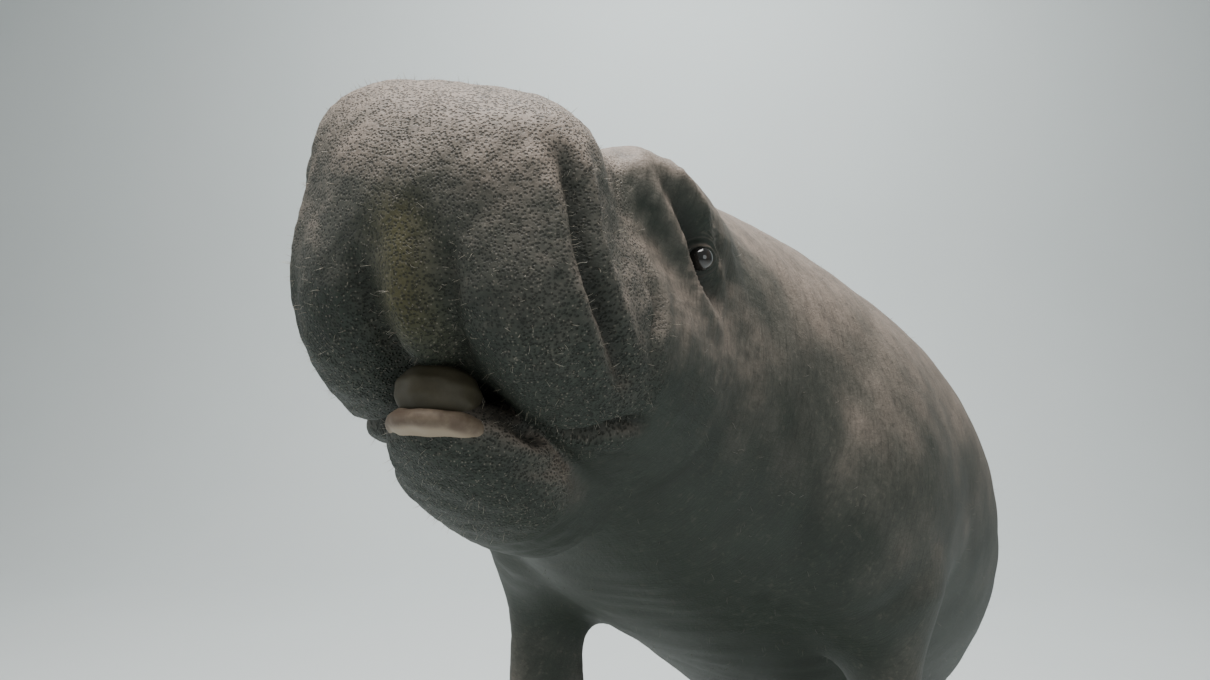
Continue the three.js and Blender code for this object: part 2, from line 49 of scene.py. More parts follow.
# %% [markdown]
# ## The straight animal
# A manatee is a smooth barrel, so it is easiest to describe lying straight: x to its left, y back from the
# snout and z to its back, in millimetres. One field tells how far a point lies outside the skin, and round
# forms are melted together in it, the way clay is. The spine then bends the finished skin into the pose.

# %% Sizes of the animal, in millimetres and degrees
SHOULDER_Y = 750
SHOULDER_PLACE = np.array([0.0, -560.0, 1220.0])
DIP = [(0, 20), (300, 19), (600, 17), (980, 20), (1350, 35), (1750, 43), (2100, 44), (2500, 28), (3000, 8)]
TURN = [(0, 5), (300, 5), (600, 0), (1000, 1), (1400, 7), (1900, 11), (2500, 8), (3000, 4)]
TRUNK = [
    (150, 114, 100, 100),
    (270, 152, 160, 158),
    (400, 188, 212, 205),
    (560, 240, 243, 252),
    (760, 300, 266, 300),
    (1010, 350, 288, 330),
    (1270, 370, 292, 332),
    (1530, 344, 280, 304),
    (1790, 298, 242, 252),
    (2030, 228, 176, 176),
    (2230, 168, 112, 112),
    (2400, 150, 62, 62),
    (2600, 120, 32, 32),
    (2860, 40, 10, 10),
]
TRUNK_START, TRUNK_END = 150, 2860
TRUNK_SQUARE = 2.2
MID_HEIGHT = 0.48
NOSE_ROUND = 80
MUZZLE = {"y": 112, "z": 0, "tilt": 32}
PADDLE = {"y": 2630, "half_length": 370, "half_width": 335, "thick": 38, "square": 2.3}
FLIPPER = {"root": (254, 826, -190), "inwards": -2, "back": 18, "twist": 28, "length": 500, "bow": 26}
BLADE = [(0, 78, 58), (110, 64, 44), (200, 66, 34), (330, 80, 25), (420, 74, 18), (500, 44, 12)]
BLADE_END = 70
EYE = {"y": 273, "z": 54, "radius": 12, "sunk": 5}
NAIL = {"size": (9, 6, 14), "places": [(-30, 458), (-3, 470), (24, 458)], "out": 8}
NOSTRIL = {"x": 38, "y": 66, "turn": 24, "half_length": 17, "half_width": 4.5, "depth": 10, "bow": 60}
NOSTRIL_RIM = {"half_length": 21, "half_width": 6, "height": 2.5, "behind": 10}
FAR = 1e9
ARM_START, HEAD_END, ARM_END, TAIL_START = 350, 620, 1500, 1900

# How wide two forms melt into each other
MELT = {"lobes": 26, "dome": 44, "middle": 22, "muzzle": 40, "cheek": 60, "shoulder": 90, "limb": 60}
THROAT_MELT = {"front": 14, "gain": 60, "from": 190, "to": 330}


# %% Smooth curves and melted forms
def along(table, y, column=1):
    """Smooth curve through the rows of a table, read at y."""
    knots = np.array([row[0] for row in table], float)
    values = np.array([row[column] for row in table], float)
    slopes = np.empty_like(values)
    slopes[1:-1] = (values[2:] - values[:-2]) / (knots[2:] - knots[:-2])
    slopes[0] = (values[1] - values[0]) / (knots[1] - knots[0])
    slopes[-1] = (values[-1] - values[-2]) / (knots[-1] - knots[-2])
    at = np.clip(y, knots[0], knots[-1])
    i = np.clip(np.searchsorted(knots, at) - 1, 0, len(knots) - 2)
    span = knots[i + 1] - knots[i]
    t = (at - knots[i]) / span
    return (
        (2 * t**3 - 3 * t**2 + 1) * values[i]
        + (t**3 - 2 * t**2 + t) * span * slopes[i]
        + (3 * t**2 - 2 * t**3) * values[i + 1]
        + (t**3 - t**2) * span * slopes[i + 1]
    )


def join(a, b, k):
    """Smooth union of two distances, melted over a width k."""
    h = np.maximum(k - np.abs(a - b), 0) / k
    return np.minimum(a, b) - h * h * k / 4


def smooth_step(low, high, value):
    t = np.clip((value - low) / (high - low), 0, 1)
    return t * t * (3 - 2 * t)


def round_form(centre, radii, pitch=0.0, splay=0.0, square=2.0):
    """A field for one rounded form, leaned about X by a pitch and about Y by a splay."""
    cp, sp = math.cos(math.radians(pitch)), math.sin(math.radians(pitch))
    cs, ss = math.cos(math.radians(splay)), math.sin(math.radians(splay))

    def field(x, y, z):
        dx = cs * (x - centre[0]) + ss * (z - centre[2])
        up = cs * (z - centre[2]) - ss * (x - centre[0])
        dy = cp * (y - centre[1]) + sp * up
        dz = cp * up - sp * (y - centre[1])
        ring = (np.abs(dx / radii[0]) ** square + np.abs(dz / radii[2]) ** square) ** (2 / square)
        g = np.sqrt(ring + (dy / radii[1]) ** 2)
        r = np.sqrt(dx * dx + dy * dy + dz * dz)
        return np.where(g < 1e-6, -min(radii), r - r / np.maximum(g, 1e-6))

    return field


def in_muzzle(x, y, z):
    c, s = math.cos(math.radians(MUZZLE["tilt"])), math.sin(math.radians(MUZZLE["tilt"]))
    return (x, MUZZLE["y"] + y * c - z * s, MUZZLE["z"] + z * c + y * s)


# %% The forms of the head
nose_dome = round_form(in_muzzle(-10, 10, 29), (134, 100, 105), MUZZLE["tilt"], splay=-12, square=3.2)
lip_lobe = round_form(in_muzzle(72, -12, -40), (62, 84, 96), MUZZLE["tilt"], splay=13)
lip_middle = round_form(in_muzzle(0, -50, -26), (27, 54, 72), MUZZLE["tilt"])
cheek = round_form((92, 262, -62), (74, 130, 92))
brow = round_form((100, 292, 94), (58, 126, 58))
chin = round_form((0, 226, -177), (76, 132, 47), -13)
palate_pad_form = round_form((0, 116, -130), (35, 34, 26))
lip_pad_form = round_form((0, 128, -155), (45, 42, 15))
shoulder = round_form((232, 800, -90), (88, 180, 170))


def muzzle(x, y, z):
    lobes = join(lip_lobe(x, y, z), lip_lobe(-x, y, z), MELT["lobes"])
    return join(join(nose_dome(x, y, z), lobes, MELT["dome"]), lip_middle(x, y, z), MELT["middle"])


def trunk(x, y, z):
    ahead = np.clip((TRUNK_START - y) / NOSE_ROUND, 0, 0.999)
    close = np.sqrt(1 - ahead * ahead)
    half, top, bottom = (along(TRUNK, y, n) * close for n in (1, 2, 3))
    middle = MID_HEIGHT * (top + bottom) - bottom
    dz = z - middle
    tall = np.where(dz > 0, top - middle, middle + bottom)
    g = (np.abs(x / half) ** TRUNK_SQUARE + np.abs(dz / tall) ** TRUNK_SQUARE) ** (1 / TRUNK_SQUARE)
    r = np.hypot(x, dz)
    inside = np.where(g < 1e-3, -np.minimum(half, tall), r - r / np.maximum(g, 1e-3))
    return np.maximum(inside, np.maximum(TRUNK_START - NOSE_ROUND - y, y - TRUNK_END))


# %% The tail paddle and the flippers
def paddle(x, y, z):
    square = PADDLE["square"]
    across = np.abs(x / PADDLE["half_width"]) ** square
    r = (across + np.abs((y - PADDLE["y"]) / PADDLE["half_length"]) ** square) ** (1 / square)
    return PADDLE["thick"] * (np.hypot(z / PADDLE["thick"], r) - 1)


def rotation(x=0.0, y=0.0, z=0.0):
    """Turns about X, Y and Z in degrees, as the product Ry Rx Rz."""
    turns = [math.radians(a) for a in (x, y, z)]
    (cx, sx), (cy, sy), (cz, sz) = ((math.cos(a), math.sin(a)) for a in turns)
    about_x = np.array([[1, 0, 0], [0, cx, -sx], [0, sx, cx]])
    about_y = np.array([[cy, 0, sy], [0, 1, 0], [-sy, 0, cy]])
    about_z = np.array([[cz, -sz, 0], [sz, cz, 0], [0, 0, 1]])
    return about_y @ about_x @ about_z


FLIPPER_TURN = rotation(FLIPPER["back"], FLIPPER["inwards"], FLIPPER["twist"])
THROUGH, CHORD, OUT = FLIPPER_TURN[:, 0], FLIPPER_TURN[:, 1], -FLIPPER_TURN[:, 2]


def in_flipper(x, y, z):
    """Places on a flipper: across its blade, through it, and out along it."""
    dx, dy, dz = (v - r for v, r in zip((x, y, z), FLIPPER["root"]))
    s, c, n = (dx * a[0] + dy * a[1] + dz * a[2] for a in (OUT, CHORD, THROUGH))
    bent = (s / FLIPPER["length"]) ** 2 * FLIPPER["bow"]
    return c - bent, n + bent, s


def flipper(x, y, z):
    c, n, s = in_flipper(x, y, z)
    past = np.clip((s - FLIPPER["length"] + BLADE_END) / BLADE_END, 0, 0.999)
    behind = np.clip(-s / BLADE_END, 0, 0.999)
    close = np.sqrt(1 - past * past) * np.sqrt(1 - behind * behind)
    half, thick = (along(BLADE, s, k) * close for k in (1, 2))
    g = np.maximum(np.hypot(c / half, n / thick), 1e-3)
    r = np.hypot(c, n)
    return np.maximum(r - r / g, np.maximum(s - FLIPPER["length"], -s - BLADE_END))


# %% The whole skin as one field
def flesh(x, y, z):
    side = np.abs(x)
    d = trunk(x, y, z)
    if y.min() < HEAD_END:
        d = join(d, muzzle(x, y, z), MELT["muzzle"])
        d = join(d, cheek(side, y, z), MELT["cheek"])
        d = join(d, brow(side, y, z), MELT["cheek"])
        throat = THROAT_MELT["gain"] * smooth_step(THROAT_MELT["from"], THROAT_MELT["to"], y)
        d = join(d, chin(x, y, z), THROAT_MELT["front"] + throat)
    if y.max() > TAIL_START:
        d = join(d, paddle(x, y, z), MELT["limb"])
    if y.max() > ARM_START and y.min() < ARM_END:
        d = join(d, shoulder(side, y, z), MELT["shoulder"])
        d = join(d, flipper(side, y, z), MELT["limb"])
    return d


# %% [markdown]
# ## Walking the field
# The field has no surface yet. A lattice of cells is laid round the animal, fine at the head and wider
# along the barrel, and every cell that the skin crosses gives one vertex. Neighbouring vertices are joined
# in quads, which is called a surface net, and each vertex is drawn the rest of the way on to the skin.

# %% Lattice sizes
ACROSS, TALL = 98, 112
BANDS = [(-14, 330, 4.5), (330, 640, 7.9), (640, 1010, 13.0), (1010, 2260, 32.0), (2260, 3012, 13.0)]
BAND_EDGES = [-FAR, ARM_START, HEAD_END, ARM_END, TAIL_START, FAR]
HEAD_REACH = (205, 262)
PADDLE_REACH = (372, 110)
FLIPPER_REACH = 760
TRUNK_SHARE, SIDE_SPARE, TALL_SPARE = 1.12, 36, 40


def lattice_rows():
    rows = [np.arange(start, stop, cell) for start, stop, cell in BANDS]
    return np.concatenate(rows + [[BANDS[-1][1]]])


def reach(y):
    """Half width and half height that the lattice covers at y."""
    head = 1 - smooth_step(330, 560, y)
    half = along(TRUNK, y, 1) * TRUNK_SHARE + SIDE_SPARE
    half = np.where(y > 2200, PADDLE_REACH[0], half) * (1 - head) + HEAD_REACH[0] * head
    arms = smooth_step(480, 640, y) * (1 - smooth_step(1060, 1240, y))
    tall = np.maximum(along(TRUNK, y, 2), along(TRUNK, y, 3)) * TRUNK_SHARE + TALL_SPARE
    tall = np.maximum(tall, PADDLE_REACH[1])
    tall = tall * (1 - arms) + FLIPPER_REACH * arms
    return half, tall * (1 - head) + HEAD_REACH[1] * head


# %% Surface net
def surface_net(values, place):
    """Vertices and quads of a lattice's zero surface, with place giving each node's point."""
    nx, ny, nz = values.shape
    inside = values < 0
    count = np.zeros((nx - 1, ny - 1, nz - 1), np.int8)
    corners = [(a, b, c) for a in (0, 1) for b in (0, 1) for c in (0, 1)]
    for a, b, c in corners:
        count += inside[a : nx - 1 + a, b : ny - 1 + b, c : nz - 1 + c]
    cells = np.argwhere((count > 0) & (count < 8))
    number = np.full(count.shape, -1, np.int32)
    number[tuple(cells.T)] = np.arange(len(cells))
    total, hits = np.zeros((len(cells), 3)), np.zeros(len(cells))
    for corner in corners:
        for axis in range(3):
            if corner[axis]:
                continue
            far = list(corner)
            far[axis] = 1
            near_at, far_at = cells + np.array(corner), cells + np.array(far)
            p, q = values[tuple(near_at.T)], values[tuple(far_at.T)]
            crossed = (p < 0) != (q < 0)
            t = (p[crossed] / (p[crossed] - q[crossed]))[:, None]
            a, b = place(near_at[crossed]), place(far_at[crossed])
            total[crossed] += a + t * (b - a)
            hits[crossed] += 1
    quads = []
    for axis in range(3):
        low = [slice(None)] * 3
        high = [slice(None)] * 3
        low[axis], high[axis] = slice(0, -1), slice(1, None)
        here, there = inside[tuple(low)], inside[tuple(high)]
        edges = np.argwhere(here != there)
        u, v = np.eye(3, dtype=int)[(axis + 1) % 3], np.eye(3, dtype=int)[(axis + 2) % 3]
        ring = [number[tuple((edges - du * u - dv * v).T)] for du, dv in ((1, 1), (0, 1), (0, 0), (1, 0))]
        ring = np.stack(ring, 1)
        outwards = here[tuple(edges.T)]
        ring[~outwards] = ring[~outwards][:, ::-1]
        quads.append(ring)
    return total / hits[:, None], np.concatenate(quads)


# %% Drawing vertices on to the skin
def field_at(field, points):
    """The field at loose points, in bands, so that each reads only the forms that reach it."""
    values = np.empty(len(points))
    for low, high in zip(BAND_EDGES, BAND_EDGES[1:]):
        chosen = (points[:, 1] >= low) & (points[:, 1] < high)
        if chosen.any():
            values[chosen] = field(*points[chosen].T)
    return values


def slope_at(field, points, step=0.6):
    sides = []
    for axis in range(3):
        shift = np.zeros(3)
        shift[axis] = step
        sides.append((field_at(field, points + shift) - field_at(field, points - shift)) / (2 * step))
    return np.stack(sides, 1)


def settle(field, points, quads, rounds=2):
    for _ in range(rounds):
        total, count = np.zeros_like(points), np.zeros(len(points))
        for n in range(4):
            np.add.at(total, quads[:, n], points[quads[:, (n + 1) % 4]] + points[quads[:, (n + 3) % 4]])
            np.add.at(count, quads[:, n], 2)
        points = points + 0.5 * (total / np.maximum(count, 1)[:, None] - points)
        for _ in range(2):
            slope = slope_at(field, points)
            size = np.maximum((slope**2).sum(1), 0.05)
            step = np.clip(field_at(field, points) / size, -6, 6)
            points = points - step[:, None] * slope
    return points


# %% Walk the field, from the snout to the tail
def close_sides(values):
    """Marks the lattice's outer layer as outside the skin, so that the net is closed."""
    for axis in range(3):
        edge = [slice(None)] * 3
        for end in (0, -1):
            edge[axis] = end
            values[tuple(edge)] = np.maximum(values[tuple(edge)], 1.0)


rows = lattice_rows()
half_reach, tall_reach = reach(rows)
u = np.linspace(-1, 1, 2 * (ACROSS // 2) + 1)
w = np.linspace(-1, 1, TALL)
values = np.empty((len(u), len(rows), len(w)), np.float32)
for low, high in zip(BAND_EDGES, BAND_EDGES[1:]):
    band = (rows >= low) & (rows < high)
    y = rows[band][None, :, None]
    x = u[:, None, None] * half_reach[band][None, :, None]
    z = w[None, None, :] * tall_reach[band][None, :, None]
    values[:, band] = flesh(x, y, z)
close_sides(values)


def node_place(at):
    i, j, k = at.T
    return np.stack([u[i] * half_reach[j], rows[j], w[k] * tall_reach[j]], 1)


points, quads = surface_net(values, node_place)
points = settle(flesh, points, quads)
print("skin net:", len(points), "vertices,", len(quads), "quads")

# %% [markdown]
# ## A real mesh, finer at the eyes
# The eye is only a fingertip wide, so the net is subdivided round both eyes before any fold is pressed in.

# %% Net to mesh
def in_scene(name, data):
    piece = bpy.data.objects.new(name, data)
    bpy.context.scene.collection.objects.link(piece)
    return piece


def make_mesh(name, vertices, faces, scale=0.001):
    mesh = bpy.data.meshes.new(name)
    mesh.from_pydata((vertices * scale).tolist(), [], faces.tolist())
    mesh.validate()
    return in_scene(name, mesh)


def vectors(items, key="vector"):
    flat = np.empty(len(items) * 3)
    items.foreach_get(key, flat)
    return flat.reshape(-1, 3)


def mesh_points(mesh):
    return vectors(mesh.vertices, "co")


def mesh_normals(mesh):
    return vectors(mesh.vertex_normals)


def set_points(mesh, points):
    mesh.vertices.foreach_set("co", np.ascontiguousarray(points, np.float32).ravel())
    mesh.update()


def skin_side(y, z):
    """How far out the skin lies at the animal's side, at a place along and up it."""
    x = np.arange(60.0, 420.0, 0.5)
    d = flesh(x, np.full_like(x, y), np.full_like(x, z))
    return float(x[np.argmax(d > 0)])


eye_x = skin_side(EYE["y"], EYE["z"]) - EYE["sunk"]
eye_centre = np.array([eye_x, EYE["y"], EYE["z"]])
skin = make_mesh("skin", points, quads)


def refine_near(mesh, centre, radius):
    """Cuts each face near a place, and near its mirror place, into four."""
    work = bmesh.new()
    work.from_mesh(mesh)
    chosen = []
    for edge in work.edges:
        middle = (edge.verts[0].co + edge.verts[1].co) * 500
        if math.dist((abs(middle.x), middle.y, middle.z), centre) < radius:
            chosen.append(edge)
    bmesh.ops.subdivide_edges(work, edges=chosen, cuts=1, use_grid_fill=True)
    work.to_mesh(mesh)
    work.free()


for radius in (48, 26):
    refine_near(skin.data, eye_centre, radius)
straight = mesh_points(skin.data) * 1000
triangle_count = sum(len(face.vertices) - 2 for face in skin.data.polygons)
print("eye centre:", eye_centre.round(1), "skin vertices:", len(straight), "triangles:", triangle_count)

# %% [markdown]
# ## Folds and creases
# The face is a set of bristly lobes with deep folds between them, and one long fold runs down in front of
# the eye. A fold is a short path on the animal's left, mirrored to its right. Points near the path are
# pressed in, and the skin beside it is heaped up a little, because skin that folds has to go somewhere.

# %% Fold tools
def waves(points, length, seed, parts=7):
    """Soft irregular waves of about one length, between -1 and 1."""
    draw = np.random.default_rng(seed)
    total = np.zeros(len(points))
    for _ in range(parts):
        way = draw.normal(size=3)
        way /= np.linalg.norm(way)
        turns = 2 * math.pi / (length * draw.uniform(0.75, 1.35))
        total += np.sin(points @ way * turns + draw.uniform(0, 6.28))
    return total / math.sqrt(parts * 1.6)


def smooth_path(path, steps=24):
    """A curve through a few given points, and how far along it each step is, from 0 to 1."""
    path = np.array(path, float)
    t = np.linspace(0, len(path) - 1, steps)
    table = [(n, *p) for n, p in enumerate(path)]
    return np.stack([along(table, t, k) for k in (1, 2, 3)], 1), t / (len(path) - 1)


def near_path(points, path):
    """Distance of each point to a path, and where along it that is."""
    curve, share = smooth_path(path)
    best = np.full(len(points), FAR)
    where = np.zeros(len(points))
    for n in range(len(curve) - 1):
        a, b = curve[n], curve[n + 1]
        ab = b - a
        t = np.clip((points - a) @ ab / (ab @ ab), 0, 1)
        d = np.linalg.norm(points - a - t[:, None] * ab, axis=1)
        closer = d < best
        best[closer] = d[closer]
        where[closer] = (share[n] + t * (share[n + 1] - share[n]))[closer]
    return best, where


def fold(points, path, width, depth, heap):
    """Press along a path: minus in the crease, plus on the heaped skin beside it."""
    folded = np.column_stack([np.abs(points[:, 0]), points[:, 1:]])
    lo, hi = np.min(path, 0) - 5 * width, np.max(path, 0) + 5 * width
    chosen = np.all((folded > lo) & (folded < hi), 1)
    press = np.zeros(len(points))
    d, t = near_path(folded[chosen], path)
    taper = np.clip(np.sin(np.clip(t, 0, 1) * math.pi), 0, 1) ** 0.6
    crease = -np.exp(-((d / width) ** 2))
    heaped = heap * np.exp(-(((d - 2.2 * width) / (1.1 * width)) ** 2))
    press[chosen] = depth * taper * (crease + heaped)
    return press


# %% The folds of the face, as paths on the left side: path, width, depth and heap
FOLDS = [
    # where the bristly lip lobe meets the cheek
    ([(104, 44, 48), (122, 60, 12), (131, 80, -32), (138, 103, -60), (143, 132, -84), (142, 166, -107)],
     9, 13, 0.5),
    # the end of the bristly skin
    ([(138, 150, 16), (146, 168, -10), (154, 180, -32), (156, 176, -62), (150, 196, -104)], 8, 4, 0.5),
    # long soft folds that run down from the bridge of the nose to below the eye
    ([(96, 168, 122), (112, 172, 98), (124, 188, 74), (136, 210, 44), (146, 240, 8)], 15, 5, 0.7),
    ([(118, 196, 118), (139, 200, 99), (153, 230, 76), (161, 256, 56), (167, 284, 34), (171, 326, 26)],
     13, 12, 0.7),
    # the hollow behind the eye
    ([(160, 256, 84), (166, 288, 78), (171, 318, 66), (175, 348, 48)], 13, 4, 0.3),
    # the mouth's line under the lobes, and the fold below its corner
    ([(30, 132, -144), (58, 160, -146), (92, 176, -144), (123, 188, -134), (137, 204, -126),
      (140, 220, -120)],
     8, 15, 0.1),
    ([(54, 148, -176), (84, 186, -170), (112, 226, -154), (128, 256, -140)], 9, 4, 0.5),
    # grooves beside the middle of the lip
    ([(40, 24, -40), (39, 38, -54), (38, 56, -74), (34, 84, -92), (28, 108, -104)], 9, 5, 0.15),
    # throat and neck
    ([(70, 318, -206), (118, 340, -172), (164, 366, -112), (186, 392, -30)], 18, 4, 0.3),
    ([(110, 455, -226), (170, 474, -168), (212, 492, -80), (222, 508, 40)], 22, 2.5, 0.3),
    ([(236, 545, -60), (228, 566, -130), (200, 596, -196)], 16, 3.5, 0.3),
    # over the flipper's root, and its elbow and wrist
    ([(196, 704, -258), (262, 716, -226), (306, 760, -176), (316, 850, -160)], 14, 5, 0.35),
    ([(214, 770, -330), (262, 786, -330), (302, 830, -322)], 9, 2.5, 0.35),
    ([(210, 800, -410), (262, 800, -414), (306, 850, -402)], 9, 2.5, 0.35),
]


def fold_all(points):
    press = np.zeros(len(points))
    for path, width, depth, heap in FOLDS:
        press += fold(points, path, width, depth, heap)
    return press


# %% Eye pocket, lids and the fine rings of wrinkle round them
def eye_relief(points):
    side = np.column_stack([np.abs(points[:, 0]), points[:, 1:]])
    d = np.linalg.norm((side - eye_centre) * np.array([0.6, 1.0, 1.15]), axis=1)
    pocket = -7 * np.exp(-((d / 30) ** 2))
    lid = 6.5 * np.exp(-(((d - 12.5) / 3.0) ** 2))
    outer = 2.2 * np.exp(-(((d - 21) / 3.4) ** 2))
    rings = 0.8 * np.cos(d * 1.5 + 1.3 * waves(side, 30, 5)) * smooth_step(16, 24, d)
    rings *= 1 - smooth_step(36, 60, d)
    hole = -14 * (1 - smooth_step(6, 9.5, d))
    return np.where(d < 80, pocket + lid + outer + rings + hole, 0)


def nostril_relief(points):
    """Two closed slits on top of the nose, closer together at their front."""
    x, y, z = np.abs(points[:, 0]), points[:, 1], points[:, 2]
    turn, rim = math.radians(NOSTRIL["turn"]), NOSTRIL_RIM
    dx, dy = x - NOSTRIL["x"], y - NOSTRIL["y"]
    across, back = dx * math.cos(turn) + dy * math.sin(turn), dy * math.cos(turn) - dx * math.sin(turn)
    bow = across**2 / NOSTRIL["bow"]
    ends = (across / NOSTRIL["half_length"]) ** 4
    slit = np.exp(-ends - (((back - bow) / NOSTRIL["half_width"]) ** 2))
    rim_ends = (across / rim["half_length"]) ** 4
    raised = np.exp(-rim_ends - (((back - rim["behind"] - bow) / rim["half_width"]) ** 2))
    return np.where(z > 60, rim["height"] * raised - NOSTRIL["depth"] * slit, 0)


# %% Wrinkles and lumps that cover whole regions
def region_relief(points):
    """Lumps on the trunk, small knobs on the head, rings on the neck and wide ribs on the tail stock."""
    y = points[:, 1]
    head = 1 - smooth_step(300, 520, y)
    lumps = 2.2 * waves(points, 260, 1) * (1 - head) + 1.1 * waves(points, 95, 2)
    knobs = 0.7 * waves(points, 26, 3) * head + 0.4 * waves(points, 13, 4) * head
    rings = np.cos((y + 14 * waves(points, 210, 9)) * (2 * math.pi / 46))
    neck = 0.5 * rings * smooth_step(360, 460, y) * (1 - smooth_step(620, 800, y))
    ribs = 1.2 * np.cos((y + 30 * waves(points, 400, 11)) * (2 * math.pi / 120))
    ribs *= smooth_step(1500, 1900, y)
    ribs *= 1 - smooth_step(2200, 2400, y)
    return lumps + knobs + neck + ribs


# %% Press the folds in along the normals
normals = mesh_normals(skin.data)
folds = fold_all(straight)
eyes = eye_relief(straight)
slits = nostril_relief(straight)
pressed = straight + normals * (folds + eyes + slits + region_relief(straight))[:, None]
# Painted shade: this mask darkens the colour in the creases of the folds, the eye pockets and the nostril
# slits
crease_shade = -(folds + np.minimum(eyes, 0) * 0.8 + slits) / 9
# Painted shade: the top of the jaw, under the overhanging lip lobes, is darkened too
jaw_top_shade = smooth_step(0.0, 0.45, normals[:, 2]) * (np.abs(chin(*straight.T)) < 9) * (straight[:, 2] < -90)
crease_shade = np.clip(crease_shade + 0.9 * jaw_top_shade * (1 - smooth_step(250, 300, straight[:, 1])), 0, 1)
print("deepest fold:", round(float(-folds.min()), 1), "mm, highest heap:", round(float(folds.max()), 1))

# %% [markdown]
# ## The pose
# The spine is a chain of short steps, each with a dip and a turn. A straight point keeps its place in its
# own section, and the section goes where the spine takes it, so neck and tail bend without a seam.

# %% Spine
def section(y):
    """Directions of a section: back along the body, to the animal's left, and up."""
    dip, turn = np.radians(along(DIP, y)), np.radians(along(TURN, y))
    back = np.stack([-np.sin(turn) * np.cos(dip), np.cos(turn) * np.cos(dip), -np.sin(dip)], -1)
    leftward = np.stack([np.cos(turn), np.sin(turn), np.zeros_like(turn)], -1)
    return back, leftward, np.cross(leftward, back)


SPINE_STEP = 10.0
stations = np.arange(-100.0, 3100.0 + 1, SPINE_STEP)
steps = section(stations[:-1] + SPINE_STEP / 2)[0] * SPINE_STEP
spine = np.concatenate([np.zeros((1, 3)), np.cumsum(steps, 0)])
spine += SHOULDER_PLACE - spine[np.argmin(np.abs(stations - SHOULDER_Y))]


def posed(points):
    _, leftward, up = section(points[:, 1])
    centre = np.stack([np.interp(points[:, 1], stations, spine[:, k]) for k in range(3)], 1)
    return (centre + leftward * points[:, :1] + up * points[:, 2:]) * 0.001


# %% What the finish needs to know at each point of the skin
def keep_number(mesh, name, numbers):
    layer = mesh.attributes.new(name, "FLOAT", "POINT")
    layer.data.foreach_set("value", np.ascontiguousarray(numbers, np.float32))


def keep_place(mesh, name, places):
    layer = mesh.attributes.new(name, "FLOAT_VECTOR", "POINT")
    layer.data.foreach_set("vector", np.ascontiguousarray(places, np.float32).ravel())


def bristly(points):
    """Where the skin is pitted with bristle roots: the muzzle, both lips and a little of the cheek."""
    x, y, z = points.T
    face = 1 - smooth_step(165, 195, y + 0.25 * z)
    jaw = (1 - smooth_step(150, 215, y)) * (1 - smooth_step(-150, -130, z))
    return np.clip(np.maximum(face, jaw), 0, 1)


def lip_ridge(points):
    """The middle of the upper lip, which has a yellow tinge."""
    x, y, z = points.T
    ridge = np.exp(-((x / 24) ** 2)) * smooth_step(-120, -80, z) * (1 - smooth_step(-30, 20, z))
    return ridge * (1 - smooth_step(120, 170, y))


def hairy(points):
    """Where single fine hairs stand: the trunk behind the face, and not the flippers."""
    x, y, z = points.T
    trunk_skin = np.abs(trunk(x, y, z)) < 30
    return smooth_step(200, 300, y) * (1 - smooth_step(2200, 2500, y)) * trunk_skin


# Painted shade: 0 where the skin faces up and 1 where it faces down, with a little waviness; the finish
# darkens and greens the skin by it
def underside_shade(points, normals):
    low = 0.5 - 0.5 * normals[:, 2]
    return np.clip(low + 0.08 * waves(points, 180, 21) + 0.04 * waves(points, 60, 22), 0, 1)


set_points(skin.data, posed(pressed))
keep_place(skin.data, "body", straight * 0.001)
keep_number(skin.data, "pitted", bristly(straight))
keep_number(skin.data, "crease_shade", crease_shade)
keep_number(skin.data, "hairy", hairy(straight))
keep_number(skin.data, "ridge", lip_ridge(straight))
keep_number(skin.data, "under_shade", underside_shade(straight, mesh_normals(skin.data)))
skin.data.shade_smooth()
print("skin box:", mesh_points(skin.data).min(0).round(3), mesh_points(skin.data).max(0).round(3))

# %% [markdown]
# ## Expressions that add nodes
# A finish is a small program. Wrapping a socket in a class lets the program be written as arithmetic, and
# each sum or product then adds its Math node. Every other node comes from one method.

# %% Wire and finish classes
class Wire:
    """A socket that Python arithmetic can be done on."""

    def __init__(self, finish, socket):
        self.finish, self.socket = finish, socket

    def math(self, operation, *others):
        sockets = dict(enumerate((self, *others)))
        return self.finish.node("ShaderNodeMath", {"operation": operation}, sockets)

    def __add__(self, other):
        return self.math("ADD", other)

    def __mul__(self, other):
        return self.math("MULTIPLY", other)

    def __sub__(self, other):
        return self.math("SUBTRACT", other)

    def __rsub__(self, other):
        return self.finish.node("ShaderNodeMath", {"operation": "SUBTRACT"}, {0: other, 1: self})

    __radd__ = __add__
    __rmul__ = __mul__

    def step(self, low, high):
        """0 below low, 1 above high and smooth between."""
        settings = {"interpolation_type": "SMOOTHSTEP"}
        sockets = {"Value": self, "From Min": low, "From Max": high}
        return self.finish.node("ShaderNodeMapRange", settings, sockets)


